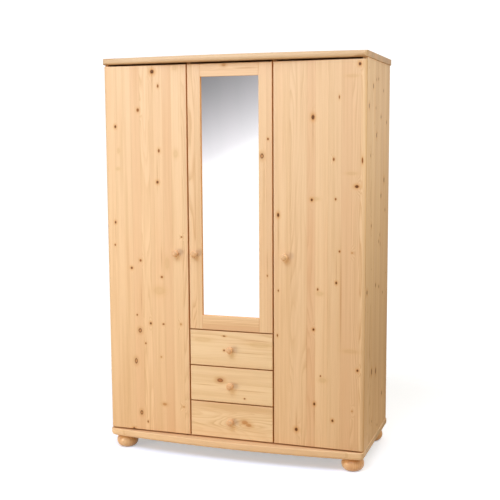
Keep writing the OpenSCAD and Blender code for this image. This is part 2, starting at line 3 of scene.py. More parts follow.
import bpy
from mathutils import Euler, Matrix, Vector

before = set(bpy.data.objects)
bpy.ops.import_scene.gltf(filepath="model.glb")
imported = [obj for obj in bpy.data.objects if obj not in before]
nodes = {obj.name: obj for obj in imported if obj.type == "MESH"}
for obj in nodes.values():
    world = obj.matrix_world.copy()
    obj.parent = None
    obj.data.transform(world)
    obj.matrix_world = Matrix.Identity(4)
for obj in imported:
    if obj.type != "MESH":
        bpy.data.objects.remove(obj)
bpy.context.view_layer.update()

MM = 0.001
FLOOR_RADIUS = 2.3  # m
FLOOR_GLOW = 0.40  # the share of the white floor's light that no shadow takes away
FLOOR_BOUNCE = (0.64, 0.52, 0.36)  # the colour of the floor that the object itself sees
GLOSS_LEVELS = (0.10, 1.15, 0.85)  # what gloss sees low at the back right, at the front left, high up
BRIGHT_SIDE = (-0.60, -0.72, 0.35)  # the way to the front left, where gloss sees the brightest room
ROOM_COLOUR = (1.0, 0.80, 0.50)
ROOM_LEVEL = 0.34
BEYOND_LEVEL = 1.1  # the white that the camera sees beyond the floor
FLAG_SIZE = 2.4  # m
FLAG_PLACE = (-1.75, -4.2, 2.12)
# The light banks: name, place, aim, size in metres, watts and colour.
LIGHT_BANKS = [
    ("ceiling", (0.7, -0.3, 4.2), (0.2, -0.3, 0), (5.0, 4.0), 72, (0.93, 0.98, 1.14)),
    ("front", (-0.5, -2.6, 3.0), (-0.1, 0, 1.6), (2.4, 1.4), 60, (0.84, 1.07, 1.62)),
    ("right", (2.2, -0.55, 1.65), (0.67, 0, 1.55), (1.0, 1.0), 17, (0.96, 1.05, 1.12)),
    ("left", (-2.4, -3.2, 0.5), (0, 0, 0.5), (1.6, 1.6), 62, (0.99, 0.96, 0.92)),
]
CAMERA_PLACE = (1.530, -4.520, 1.609)
CAMERA_TURN = (0.3245, -0.1204, -0.0054)  # yaw, pitch and roll, in radians
LENS = 67.13  # mm, on a 36 mm sensor


# ------------------------------------------------------------ building shaders

class Shader:
    """The nodes of a world or of a new material, added by short calls. A value is a number, a colour or
    a socket."""

    def __init__(self, owner):
        self.material = bpy.data.materials.new(owner) if isinstance(owner, str) else owner
        self.material.use_nodes = True
        self.tree = self.material.node_tree
        self.tree.nodes.clear()

    def feed(self, socket, value):
        if isinstance(value, bpy.types.NodeSocket):
            self.tree.links.new(value, socket)
        else:
            socket.default_value = value

    def add(self, kind, inputs=None, **settings):
        node = self.tree.nodes.new(kind)
        for key, value in settings.items():
            setattr(node, key, value)
        for key, value in (inputs or {}).items():
            self.feed(node.inputs[key], value)
        return node

    def math(self, operation, *values):
        return self.add("ShaderNodeMath", dict(enumerate(values)), operation=operation).outputs[0]

    def vector(self, operation, *values):
        """Vector sum, product and the like."""
        node = self.add("ShaderNodeVectorMath", dict(enumerate(values)), operation=operation)
        return node.outputs["Value" if operation in ("LENGTH", "DOT_PRODUCT") else "Vector"]

    def combine(self, *parts):
        return self.add("ShaderNodeCombineXYZ", dict(enumerate(parts))).outputs[0]

    def split(self, vector):
        return list(self.add("ShaderNodeSeparateXYZ", {0: vector}).outputs)

    def place(self):
        """The point's place in the object's frame, in metres."""
        return self.add("ShaderNodeTexCoord").outputs["Object"]

    def noise(self, place, scale=1.0, detail=2.0):
        inputs = {"Vector": place, "Scale": scale, "Detail": detail}
        return self.add("ShaderNodeTexNoise", inputs).outputs[0]

    def spread(self, value, low, high, to_low=0.0, to_high=1.0):
        """value from low..high eased to to_low..to_high, and held beyond."""
        inputs = {"Value": value, "From Min": low, "From Max": high, "To Min": to_low, "To Max": to_high}
        return self.add("ShaderNodeMapRange", inputs, interpolation_type="SMOOTHSTEP").outputs[0]

    def ramp(self, value, stops, interpolation="LINEAR"):
        """A colour ramp's node, through (position, colour) stops. A colour is a grey or 3 or 4 numbers."""
        node = self.add("ShaderNodeValToRGB", {0: value})
        node.color_ramp.interpolation = interpolation
        elements = node.color_ramp.elements
        while len(elements) < len(stops):
            elements.new(1.0)
        for element, (position, colour) in zip(elements, stops):
            element.position = position
            element.color = opaque(colour)
        return node

    def mix(self, share, a, b, blend="MIX"):
        inputs = {0: share, 6: a, 7: b}
        return self.add("ShaderNodeMix", inputs, data_type="RGBA", blend_type=blend).outputs[2]

    def bump(self, height, depth, strength=1.0):
        """A normal from a height of 0 to 1 that stands for depth metres."""
        inputs = {"Height": height, "Distance": depth, "Strength": strength}
        return self.add("ShaderNodeBump", inputs).outputs[0]

    def surface(self, **inputs):
        """Ends the material in a Principled shader with these sockets."""
        shader = self.add("ShaderNodeBsdfPrincipled")
        for key, value in inputs.items():
            self.feed(shader.inputs[key.replace("_", " ")], value)
        output = self.add("ShaderNodeOutputMaterial")
        self.tree.links.new(shader.outputs[0], output.inputs["Surface"])
        return self.material


def opaque(colour):
    """A grey, or 3 or 4 numbers, as a colour with alpha."""
    if isinstance(colour, (int, float)):
        colour = (colour,) * 3
    return tuple(colour) if len(colour) == 4 else (*colour, 1.0)


# ------------------------------------------------------------------------ wood

# What a knot looks like, from its middle outwards: (share of KNOT_REACH radii, colour with alpha).
KNOT_REACH = 4.0
KNOT_LOOKS = {
    "dark": [(0.00, (0.17, 0.060, 0.012, 1.00)), (0.14, (0.09, 0.026, 0.005, 1.00)),
             (0.22, (0.08, 0.022, 0.004, 1.00)), (0.28, (0.42, 0.150, 0.030, 0.88)),
             (0.42, (0.58, 0.260, 0.065, 0.50)), (0.90, (0.62, 0.340, 0.120, 0.00))],
    "brown": [(0.00, (0.26, 0.088, 0.017, 1.00)), (0.20, (0.19, 0.056, 0.010, 1.00)),
              (0.29, (0.44, 0.170, 0.036, 0.70)), (0.45, (0.60, 0.310, 0.100, 0.30)),
              (0.85, (0.62, 0.340, 0.120, 0.00))],
    "ring": [(0.00, (0.42, 0.180, 0.052, 0.90)), (0.13, (0.46, 0.200, 0.060, 0.90)),
             (0.19, (0.14, 0.046, 0.012, 1.00)), (0.25, (0.12, 0.040, 0.010, 1.00)),
             (0.30, (0.50, 0.230, 0.070, 0.55)), (0.80, (0.62, 0.340, 0.120, 0.00))],
    "red": [(0.00, (0.34, 0.100, 0.020, 0.95)), (0.12, (0.40, 0.130, 0.028, 0.90)),
            (0.21, (0.17, 0.042, 0.008, 0.98)), (0.30, (0.50, 0.220, 0.065, 0.60)),
            (0.75, (0.62, 0.340, 0.120, 0.00))],
    "orange": [(0.00, (0.44, 0.170, 0.035, 0.85)), (0.19, (0.48, 0.200, 0.050, 0.80)),
               (0.27, (0.56, 0.280, 0.090, 0.45)), (0.65, (0.62, 0.350, 0.130, 0.00))],
    "ghost": [(0.00, (0.50, 0.270, 0.090, 0.28)), (0.20, (0.54, 0.300, 0.100, 0.38)),
              (0.30, (0.60, 0.340, 0.130, 0.18)), (0.55, (0.64, 0.370, 0.150, 0.00))],
    "streak": [(0.00, (0.44, 0.190, 0.055, 0.60)), (0.15, (0.50, 0.240, 0.080, 0.34)),
               (0.30, (0.60, 0.340, 0.140, 0.00))],
}
SOFT_LOOKS = ("ghost", "streak")  # no fibres bend round these
BENDING_KNOT = 8  # mm across, the smallest placed knot that the fibres bend round
SWIRL = 7.5 * MM  # how far the year rings are pushed out by a knot
RING_WIDTH = 3.4 * MM
GLUE_LINE = 1.6 * MM
STAVE_TONE = 0.085  # how much lighter or darker than the middle a stave can be
PALE_WOOD = (0.735, 0.487, 0.252)
LATE_WOOD = (0.50, 0.252, 0.086)
PINK_WOOD = (0.70, 0.375, 0.175)
END_WOOD = (0.42, 0.235, 0.105)
PAINTED_GAP_SHADE = (0.96, 0.70, 0.46)  # painted shade: darkens and warms the edges that stand in the gaps, and the faces under the doors
GAP_EDGES_WITHIN = 0.6  # m to either side of the middle, where the edges get the painted gap shade
UNDER_DOORS = (-0.265, 0.016)  # m along y: the middle of the doors' thickness, and half of it and a bit; the top's underside and the base's top face get painted shade there
LACQUER_TINT = (1.0, 0.76, 0.50, 1.0)  # the lacquer's warm gloss
# How a part is cut: the share of end grain at its ends, how dull its edges are, and where painted shade of
# the gaps darkens it.
CUTS = {
    "front": (0.45, 0.45, "edges"),  # doors and drawer fronts
    "inside": (0.45, 0.45, None),  # boards away from the gaps
    "nosed": (0.45, 0.0, "under doors"),  # top and base
    "box": (0.0, 0.0, None),  # drawer boxes
    "turned": (0.45, 0.0, None),
}


def knot_distance(s, flat_place, knots, reach=(1.0, 1.0)):
    """Distance to the nearest knot in that knot's own radii. reach stretches each knot across and along."""
    nearest = None
    for across, along, width, height in knots:
        scale = Vector((2 / (width * MM * reach[0]), 2 / (height * MM * reach[1]), 0))
        offset = (-across * MM * scale.x, -along * MM * scale.y, 0)
        distance = s.vector("LENGTH", s.vector("MULTIPLY_ADD", flat_place, scale, offset))
        nearest = distance if nearest is None else s.math("MINIMUM", nearest, distance)
    return nearest


def stave_facts(s, across, staves, seed):
    """The colour whose channels are a stave's tone, pinkness and seed. staves is a width, or a list of
    (left or lower edge in mm, tone, pinkness) that ends with the last stave's other edge."""
    if isinstance(staves, list):
        first, last = staves[0][0], staves[-1][0]
        stops = [((edge - first) / (last - first), (tone, pink, (0.37 * i + seed) % 1.0))
                 for i, (edge, tone, pink) in enumerate(staves[:-1])]
        share = s.math("MULTIPLY_ADD", across, 1 / (MM * (last - first)), -first / (last - first))
        return s.ramp(share, stops, "CONSTANT").outputs[0]
    number = s.math("FLOOR", s.math("DIVIDE", s.math("ADD", across, seed), staves * MM))
    drawn = s.add("ShaderNodeTexWhiteNoise", {"W": s.math("ADD", number, seed * 71)}, noise_dimensions="1D")
    return drawn.outputs["Color"]


def scattered_knots(s, grain_place, across, along, size):
    """Distance to the nearest of many small random knots, in knot radii. across and along are the
    spacing in metres, and size the largest knot in metres."""
    spacing = (1 / across, 1 / across, 1 / along)
    cells = s.vector("MULTIPLY", grain_place, spacing)
    voronoi = s.add("ShaderNodeTexVoronoi", {"Vector": cells, "Scale": 1.0})
    away = s.vector("SUBTRACT", cells, voronoi.outputs["Position"])
    flat = s.vector("MULTIPLY", away, (2 * across / size, 0, 2 * along / size / 1.5))
    picked = s.split(voronoi.outputs["Color"])
    smaller = s.spread(picked[0], 0.15, 0.85, 3.5, 1.0)
    return s.math("MULTIPLY", s.vector("LENGTH", flat), smaller)


def seams(s, across, staves, seed):
    """1 on the glue lines between staves, and 0 beside them."""
    before = stave_facts(s, s.math("SUBTRACT", across, GLUE_LINE / 2), staves, seed)
    after = stave_facts(s, s.math("ADD", across, GLUE_LINE / 2), staves, seed)
    return s.spread(s.vector("LENGTH", s.vector("SUBTRACT", before, after)), 0.0, 0.05)


def cut_faces(s, axes, parts, gap):
    """Three masks: a board's ends, its ends and long edges, and where painted shade of a gap falls, which may
    be None.
    """
    facing = dict(zip("xyz", s.split(s.add("ShaderNodeTexCoord").outputs["Normal"])))
    across, depth, along = (s.math("ABSOLUTE", facing[a]) for a in axes)
    end_grain = s.spread(along, 0.55, 0.85)
    edges = s.math("MAXIMUM", end_grain, s.spread(across, 0.60, 0.95))
    painted_shade = None
    # painted shade: on the edges near the middle, or on the flat faces under the doors
    if gap == "edges":
        near_middle = s.math("LESS_THAN", s.math("ABSOLUTE", parts["x"]), GAP_EDGES_WITHIN)
        painted_shade = s.math("MULTIPLY", edges, near_middle)
    elif gap == "under doors":
        flat = s.spread(depth, 0.80, 0.97, 0.0, 0.7)
        painted_shade = s.math("MULTIPLY", flat, s.math("COMPARE", parts["y"], *UNDER_DOORS))
    return end_grain, edges, painted_shade


def late_wood(s, grain, stave_seed, pushes, rings, figure):
    """How much late wood shows. A stave's tilt to the year rings and a slow wander give straight grain or
    pointed arches. pushes are (strength from 0 to 1, metres) that bend the rings round the knots."""
    across, depth, _ = s.split(grain)
    wander = s.noise(s.vector("MULTIPLY", grain, (7.0, 7.0, 0.75)), 1.0, 1.5)
    ripple = s.noise(s.vector("MULTIPLY", grain, (38.0, 38.0, 3.2)), 1.0, 2.0)
    tilt = s.math("SINE", s.math("MULTIPLY", stave_seed, 41.0))
    radius = s.math("MULTIPLY_ADD", across, tilt, s.math("MULTIPLY", depth, 0.8))
    radius = s.math("MULTIPLY_ADD", wander, 0.085, radius)
    radius = s.math("MULTIPLY_ADD", ripple, 0.0045, radius)
    for strength, reach in pushes:
        radius = s.math("MULTIPLY_ADD", strength, reach, radius)
    count = s.math("DIVIDE", radius, rings)
    uneven = s.noise(s.combine(s.math("MULTIPLY", count, 0.31), stave_seed, 0.0), 1.0, 1.0)
    count = s.math("MULTIPLY_ADD", uneven, 2.4, count)
    ring = [(0.0, 0.25), (0.10, 0.0), (0.45, 0.08), (0.80, 0.75), (0.93, 1.0), (1.0, 0.25)]
    late = s.ramp(s.math("FRACT", count), ring).outputs[0]
    clearness = s.noise(s.vector("MULTIPLY", grain, (16.0, 16.0, 0.9)), 1.0, 1.0)
    return s.math("MULTIPLY", late, s.spread(clearness, 0.32, 0.70, 0.10 * figure, 0.50 * figure))


def lay_knots(s, colour, flat_place, distances):
    """colour with knots on it. distances are (distance in the knot's radii, look)."""
    wobble = s.math("MULTIPLY_ADD", s.noise(flat_place, 230.0, 2.0), 0.5, -0.25)
    for distance, look in distances:
        share = s.math("DIVIDE", s.math("ADD", distance, wobble), KNOT_REACH)
        spot = s.ramp(share, KNOT_LOOKS[look])
        colour = s.mix(spot.outputs[1], colour, spot.outputs[0])
    return colour


def wood(name, axes, staves, seed, knots=None, scatter=None, tint=(1, 1, 1), figure=1.35, roughness=0.45,
         coat=0.0, rings=RING_WIDTH, cut="inside"):
    """Pine in a satin lacquer. axes names the frame's axes across the grain, into the board and along
    the grain. knots is {look: [(across, along, width, height) in mm]}, scatter is (spacing across,
    spacing along, largest size) in metres for small random knots, and cut is a key of CUTS."""
    s = Shader(name)
    knots = knots or {}
    end_share, dulling, gap = CUTS[cut]
    parts = dict(zip("xyz", s.split(s.place())))
    across, depth, along = (parts[a] for a in axes)
    flat_place = s.combine(across, along, 0.0)
    stave_tone, pinkness, stave_seed = s.split(stave_facts(s, across, staves, seed))
    grain = s.combine(across, depth, s.math("MULTIPLY_ADD", stave_seed, 23.0, along))
    end_grain, edges, painted_shade = cut_faces(s, axes, parts, gap)

    pushes = []
    distances = []
    hard_knots = [knot for look, places in knots.items() if look not in SOFT_LOOKS for knot in places]
    bent_by = [knot for knot in hard_knots if knot[2] >= BENDING_KNOT]
    if bent_by:
        near = knot_distance(s, flat_place, bent_by, reach=(1.0, 2.2))
        pushes.append((s.spread(near, 0.6, 4.5, 1.0, 0.0), SWIRL))
    if scatter:
        near = scattered_knots(s, grain, *scatter)
        pushes.append((s.spread(near, 0.6, 4.5, 1.0, 0.0), SWIRL * 0.6))
        distances.append((near, "brown"))
    distances += [(knot_distance(s, flat_place, places), look) for look, places in knots.items()]

    # noises per metre across, into and along the grain
    late = late_wood(s, grain, stave_seed, pushes, rings, figure)
    streaks = s.noise(s.vector("MULTIPLY", grain, (75.0, 75.0, 1.6)), 1.0, 3.0)
    fibres = s.noise(s.vector("MULTIPLY", grain, (1400.0, 1400.0, 22.0)), 1.0, 1.0)
    cloud = s.noise(s.vector("MULTIPLY", grain, (9.0, 9.0, 2.2)), 1.0, 2.0)
    seam = seams(s, across, staves, seed)
    colour = s.mix(late, opaque(PALE_WOOD), opaque(LATE_WOOD))
    colour = s.mix(s.spread(streaks, 0.42, 0.75, 0.0, 0.29), colour, opaque(LATE_WOOD))
    colour = s.mix(s.math("MULTIPLY", pinkness, 0.65), colour, opaque(PINK_WOOD))
    colour = s.mix(s.spread(cloud, 0.50, 0.80, 0.0, 0.22), colour, opaque(PINK_WOOD))
    colour = s.mix(s.math("MULTIPLY", seam, 0.30), colour, opaque(LATE_WOOD))
    colour = s.mix(s.math("MULTIPLY", end_grain, end_share), colour, opaque(END_WOOD))
    light = s.spread(fibres, 0.2, 0.8, 0.965, 1.02)
    light = s.math("MULTIPLY", light, s.math("MULTIPLY_ADD", stave_tone, STAVE_TONE * 2, 1.0 - STAVE_TONE))
    colour = s.mix(1.0, colour, s.combine(light, light, light), "MULTIPLY")
    colour = s.mix(1.0, colour, opaque(tint), "MULTIPLY")
    # painted shade: the edges in the gaps and the faces under the doors are darkened and warmed
    if painted_shade:
        colour = s.mix(painted_shade, colour, opaque(PAINTED_GAP_SHADE), "MULTIPLY")
    colour = lay_knots(s, colour, flat_place, distances)

    pores = s.noise(s.vector("MULTIPLY", grain, (900.0, 900.0, 14.0)), 1.0, 2.0)
    waves = s.noise(s.vector("MULTIPLY", grain, (45.0, 45.0, 1.4)), 1.0, 1.0)
    normal = s.bump(s.math("MULTIPLY_ADD", waves, 2.0, pores), 0.10 * MM, 0.7)
    dullness = s.spread(streaks, 0.3, 0.8, roughness - 0.04, roughness + 0.07)
    if dulling:
        dullness = s.math("MULTIPLY_ADD", edges, dulling, dullness)
    return s.surface(Base_Color=colour, Roughness=dullness, Normal=normal, Coat_Weight=coat,
                     Coat_Roughness=0.22, Coat_IOR=1.48, Specular_IOR_Level=0.35, Specular_Tint=LACQUER_TINT)


# Knots of the panels that face the front and the right: (across, along, width, height), in mm.
LEFT_DOOR_KNOTS = {
    "ghost": [(-280, 1945, 26, 22), (-280, 1530, 24, 38), (-590, 1545, 14, 26), (-595, 1455, 20, 16),
              (-380, 845, 60, 40), (-335, 985, 22, 60)],
    "streak": [(-400, 1900, 9, 190), (-380, 1430, 7, 210), (-615, 1120, 6, 260), (-480, 800, 8, 220),
               (-455, 530, 6, 150), (-365, 1010, 7, 160)],
    "brown": [(-370, 1860, 8, 14), (-480, 1745, 12, 15), (-370, 1545, 9, 15), (-480, 995, 10, 11),
              (-365, 915, 10, 10), (-505, 715, 7, 8), (-360, 675, 10, 8), (-455, 160, 7, 11),
              (-460, 570, 7, 8), (-620, 1070, 7, 9), (-255, 1120, 8, 6)],
    "orange": [(-360, 260, 24, 15), (-265, 680, 11, 12), (-255, 255, 11, 8), (-375, 505, 9, 10)],
    "ring": [(-490, 635, 16, 20), (-515, 475, 14, 25), (-490, 205, 14, 20)],
    "dark": [(-400, 1930, 17, 17), (-605, 1665, 9, 12), (-380, 1390, 11, 12), (-615, 1185, 8, 11),
             (-530, 955, 10, 10), (-430, 675, 9, 10), (-535, 117, 12, 10)],
}
RIGHT_DOOR_KNOTS = {
    "ghost": [(600, 1885, 56, 14), (600, 1440, 50, 14), (425, 1320, 40, 16), (600, 600, 70, 18),
              (450, 870, 34, 20), (465, 450, 36, 22)],
    "streak": [(552, 850, 13, 620), (245, 1150, 8, 260), (415, 1640, 7, 260), (335, 230, 9, 170),
               (530, 985, 6, 200), (385, 560, 6, 700), (425, 285, 6, 160)],
    "brown": [(540, 1790, 5, 14), (515, 1505, 8, 13), (650, 1500, 6, 24), (525, 1320, 7, 10),
              (545, 1075, 7, 9), (440, 890, 7, 10), (245, 875, 6, 9), (240, 655, 6, 11), (455, 470, 6, 7)],
    "orange": [(605, 1070, 9, 9), (610, 310, 8, 9)],
    "dark": [(635, 1938, 11, 13), (415, 1700, 13, 20), (625, 1380, 16, 12), (410, 1315, 9, 11),
             (245, 1240, 10, 17), (530, 925, 8, 11), (420, 695, 9, 10), (635, 510, 9, 10),
             (425, 330, 9, 13), (515, 255, 9, 11), (335, 195, 13, 15)],
}
STILE_KNOTS = {
    "brown": [(195, 1600, 8, 10), (190, 945, 6, 9)],
    "ring": [(165, 1520, 15, 22)],
    "streak": [(175, 1400, 6, 300), (-180, 1300, 8, 420), (190, 1000, 6, 180)],
}
# The rails and the drawer fronts have level grain, so across is the height and along goes to the right.
RAIL_KNOTS = {"orange": [(1952, -25, 14, 24)], "streak": [(1935, 90, 10, 160)]}
DRAWER_KNOTS = {
    "brown": [(325, 70, 6, 8)],
    "dark": [(634, -35, 5, 11), (562, -36, 7, 7)],
    "red": [(409, -58, 18, 29)],
    "orange": [(204, 70, 23, 36), (192, 90, 18, 32)],
    "ghost": [(600, 150, 26, 110), (610, -150, 20, 90), (275, 40, 30, 360)],
    "streak": [(555, 90, 7, 260), (365, 80, 8, 300), (620, 120, 6, 180), (380, -140, 6, 160)],
}
SIDE_KNOTS = {
    "brown": [(243, 1680, 11, 16), (69, 1090, 11, 15), (227, 1235, 11, 15), (-128, 1185, 11, 15),
              (80, 860, 12, 14), (-68, 205, 9, 12), (-30, 1880, 10, 14), (20, 1885, 10, 14),
              (150, 1835, 10, 14), (-160, 1520, 9, 14), (-40, 1745, 9, 12)],
    "dark": [(-106, 1845, 12, 19), (-204, 1750, 11, 20), (91, 1705, 11, 15), (-19, 1615, 12, 20),
             (112, 1315, 12, 18), (-84, 460, 15, 26), (20, 440, 16, 26), (189, 1390, 15, 22),
             (-215, 875, 15, 17), (194, 280, 12, 17)],
    "streak": [(129, 1560, 12, 420), (-144, 620, 14, 500), (96, 330, 11, 320), (-60, 1250, 10, 360)],
}

# Staves of the same panels: (left or lower edge, tone, pinkness), and the last one's other edge.
LEFT_DOOR_STAVES = [(-665, 0.70, 0.10), (-608, 0.60, 0.05), (-520, 0.42, 0.50), (-472, 0.72, 0.05),
                    (-421, 0.48, 0.30), (-400, 0.62, 0.10), (-350, 0.42, 0.45), (-303, 0.70, 0.00),
                    (-250, 0.45, 0.15), (-221,)]
RIGHT_DOOR_STAVES = [(221, 0.60, 0.15), (245, 0.80, 0.00), (302, 0.55, 0.10), (386, 0.32, 0.60),
                     (426, 0.75, 0.00), (487, 0.55, 0.00), (549, 0.22, 0.52), (600, 0.32, 0.32),
                     (640, 0.65, 0.10), (665,)]
STILE_STAVES = [(-216, 0.60, 0.15), (-180, 0.50, 0.10), (0, 0.70, 0.05), (186, 0.40, 0.35), (216,)]
SIDE_STAVES = [(-255, 0.75, 0.00), (-188, 0.50, 0.15), (-117, 0.70, 0.00), (-51, 0.30, 0.30),
               (20, 0.65, 0.00), (96, 0.35, 0.35), (167, 0.70, 0.05), (243, 0.40, 0.25), (324,)]
DRAWER_STAVES = [(110, 0.60, 0.05), (255, 0.20, 0.45), (295, 0.60, 0.05), (392, 0.50, 0.10),
                 (479, 0.55, 0.05), (600, 0.45, 0.15), (658,)]


def plywood():
    """Thin birch plywood: broad peeled figure and fine pores."""
    s = Shader("birch_plywood")
    place = s.place()
    broad = s.noise(s.vector("MULTIPLY", place, (3.2, 3.2, 1.1)), 1.0, 3.0)
    waves = s.math("FRACT", s.math("MULTIPLY", broad, 16.0))
    figure = s.ramp(waves, [(0.0, 0.4), (0.3, 0.0), (0.85, 0.9), (1.0, 0.4)]).outputs[0]
    pores = s.noise(s.vector("MULTIPLY", place, (700.0, 700.0, 30.0)), 1.0, 1.0)
    colour = s.mix(s.math("MULTIPLY", figure, 0.22), opaque((0.74, 0.54, 0.33)), opaque((0.56, 0.36, 0.19)))
    colour = s.mix(s.spread(pores, 0.55, 0.75, 0.0, 0.25), colour, opaque((0.42, 0.25, 0.12)))
    return s.surface(Base_Color=colour, Roughness=0.6, Normal=s.bump(pores, 0.08 * MM, 0.6))


def beech():
    """Planed beech with its short dark flecks."""
    s = Shader("planed_beech")
    place = s.place()
    flecks = s.noise(s.vector("MULTIPLY", place, (420.0, 90.0, 420.0)), 1.0, 2.0)
    bands = s.noise(s.vector("MULTIPLY", place, (60.0, 5.0, 60.0)), 1.0, 2.0)
    colour = s.mix(s.spread(bands, 0.3, 0.7), opaque((0.60, 0.37, 0.20)), opaque((0.68, 0.44, 0.26)))
    colour = s.mix(s.spread(flecks, 0.60, 0.70, 0.0, 0.55), colour, opaque((0.34, 0.16, 0.07)))
    return s.surface(Base_Color=colour, Roughness=0.5, Normal=s.bump(flecks, 0.05 * MM, 0.5))


def hardboard():
    """Smooth brown fibre board with pressed fibres."""
    s = Shader("hardboard")
    place = s.place()
    fibres = s.noise(place, 900.0, 4.0)
    blotches = s.noise(place, 22.0, 3.0)
    colour = s.mix(s.spread(fibres, 0.3, 0.7), opaque((0.17, 0.085, 0.04)), opaque((0.27, 0.15, 0.075)))
    colour = s.mix(s.spread(blotches, 0.4, 0.8, 0.0, 0.4), colour, opaque((0.32, 0.19, 0.10)))
    return s.surface(Base_Color=colour, Roughness=0.55, Normal=s.bump(fibres, 0.1 * MM, 0.6))


def mirror_glass():
    """Silvered glass, with the faint unevenness of a wiped surface."""
    s = Shader("silvered_glass")
    wiped = s.noise(s.vector("MULTIPLY", s.place(), (14.0, 14.0, 5.0)), 1.0, 3.0)
    colour = s.mix(s.spread(wiped, 0.3, 0.7), opaque((0.94, 0.955, 0.95)), opaque((0.965, 0.97, 0.97)))
    return s.surface(Base_Color=colour, Metallic=1.0, Roughness=s.spread(wiped, 0.45, 0.8, 0.0, 0.03))


def metal(name, colour, worn, roughness, lines=(300.0, 300.0, 20.0), depth=0.02 * MM):
    """Metal with brushed lines and slightly duller patches."""
    s = Shader(name)
    place = s.place()
    brushed = s.noise(s.vector("MULTIPLY", place, lines), 1.0, 2.0)
    patches = s.noise(place, 85.0, 3.0)
    mixed = s.mix(s.spread(patches, 0.35, 0.75), opaque(colour), opaque(worn))
    dullness = s.math("MULTIPLY_ADD", brushed, 0.12, s.spread(patches, 0.3, 0.8, roughness - 0.05, roughness))
    return s.surface(Base_Color=mixed, Metallic=1.0, Roughness=dullness, Normal=s.bump(brushed, depth, 0.5))


def moulded_plastic():
    """White moulded plastic with a fine spark-eroded grain."""
    s = Shader("white_plastic")
    place = s.place()
    grain = s.noise(place, 2600.0, 2.0)
    patches = s.noise(place, 60.0, 2.0)
    colour = s.mix(s.spread(patches, 0.3, 0.7), opaque((0.80, 0.79, 0.75)), opaque((0.72, 0.71, 0.66)))
    return s.surface(Base_Color=colour, Roughness=0.46, Normal=s.bump(grain, 0.04 * MM, 0.6))


# Random knots: spacing across, spacing along and largest size, in metres.
SMALL_KNOTS = (0.075, 0.50, 0.011)
FEW_KNOTS = (0.11, 0.85, 0.012)
TOP_TINT = (0.87, 0.88, 0.89)
# painted light: the base and the drawer fronts are made lighter and paler than the other pine, standing in
# for the strong light on them
BASE_TINT = (1.10, 1.20, 1.28)
DRAWER_TINT = (1.05, 1.12, 1.15)
TURNED_TINT = (1.12, 1.08, 1.00)


def turned_wood(name, axes, seed, figure, rings):
    """Pine of a turned piece, with broad rings and more gloss."""
    return wood(name, axes, 400.0, seed, tint=TURNED_TINT, figure=figure, rings=rings, roughness=0.34,
                coat=0.3, cut="turned")


def paint():
    """Gives every CAD node its material."""
    top = wood("pine_top", "yzx", 70.0, 0.19, scatter=FEW_KNOTS, tint=TOP_TINT, cut="nosed")
    base = wood("pine_base", "yzx", 70.0, 0.29, scatter=FEW_KNOTS, tint=BASE_TINT, cut="nosed")
    left_door = wood("pine_left_door", "xyz", LEFT_DOOR_STAVES, 0.12, LEFT_DOOR_KNOTS, cut="front")
    right_door = wood("pine_right_door", "xyz", RIGHT_DOOR_STAVES, 0.42, RIGHT_DOOR_KNOTS, cut="front")
    level = wood("pine_level", "zyx", DRAWER_STAVES, 0.23, DRAWER_KNOTS, tint=DRAWER_TINT, figure=1.2,
                 cut="front")
    upright_inside = wood("pine_inside_upright", "yxz", 68.0, 0.47, scatter=SMALL_KNOTS, roughness=0.55)
    level_inside = wood("pine_inside_level", "yzx", 68.0, 0.31, scatter=SMALL_KNOTS, roughness=0.55)
    box_inside = wood("pine_box", "zyx", 90.0, 0.83, scatter=FEW_KNOTS, roughness=0.58, cut="box")
    turned = turned_wood("turned_pine", "xyz", 0.61, 2.4, 11 * MM)
    knob = turned_wood("turned_knob", "xzy", 0.37, 2.0, 7 * MM)
    bright = metal("nickel_plate", (0.62, 0.61, 0.58), (0.50, 0.49, 0.46), 0.30)
    screws = metal("zinc_plate", (0.55, 0.54, 0.50), (0.48, 0.45, 0.34), 0.38)
    looks = {
        top: ["top_panel"],
        base: ["base_panel"],
        left_door: ["door_panel_left"],
        right_door: ["door_panel_right"],
        wood("pine_left_side", "yxz", 64.0, 0.55, scatter=SMALL_KNOTS): ["side_panel_left"],
        wood("pine_right_side", "yxz", SIDE_STAVES, 0.71, SIDE_KNOTS, FEW_KNOTS): ["side_panel_right"],
        wood("pine_stiles", "xyz", STILE_STAVES, 0.77, STILE_KNOTS, cut="front"): ["mirror_stiles"],
        wood("pine_rails", "zyx", 150.0, 0.66, RAIL_KNOTS, cut="front"): ["mirror_rails"],
        level: ["drawer_front_1", "drawer_front_2", "drawer_front_3"],
        upright_inside: ["partition_left", "partition_right"],
        level_inside: ["drawer_divider", "hat_shelf", "shelves_center", "shelves_right", "door_battens_left",
                       "door_battens_right", "mirror_beads"],
        box_inside: ["drawer_box_1", "drawer_box_2", "drawer_box_3"],
        turned: ["bun_feet"],
        knob: ["door_knob_left", "door_knob_right", "mirror_knob", "drawer_knob_1", "drawer_knob_2",
               "drawer_knob_3"],
        plywood(): ["back_panels", "drawer_bottom_1", "drawer_bottom_2", "drawer_bottom_3"],
        beech(): ["drawer_runners", "carcass_dowels"],
        hardboard(): ["mirror_backing"],
        mirror_glass(): ["mirror_glass"],
        metal("chrome", (0.72, 0.73, 0.75), (0.68, 0.69, 0.71), 0.10, (20.0, 300.0, 300.0)): ["clothes_rail"],
        moulded_plastic(): ["magnet_catches"],
        bright: ["shelf_pins", "rail_sockets", "hinge_plates", "hinge_arms", "hinge_cups_left",
                 "hinge_cups_right", "hinge_cups_mirror", "strike_plates_left", "strike_plates_right",
                 "strike_plates_mirror"],
        screws: ["back_screws", "foot_bolts", "runner_screws", "hinge_screws", "knob_screw_left",
                 "knob_screw_right", "mirror_knob_screw", "drawer_knob_screw_1", "drawer_knob_screw_2",
                 "drawer_knob_screw_3"],
    }
    unpainted = set(nodes)
    for material, names in looks.items():
        for node in names:
            for slot in nodes[node].material_slots:
                slot.material = material
            unpainted.discard(node)
    if unpainted:
        raise ValueError(f"no material for {sorted(unpainted)}")


# ----------------------------------------------------------------------- studio

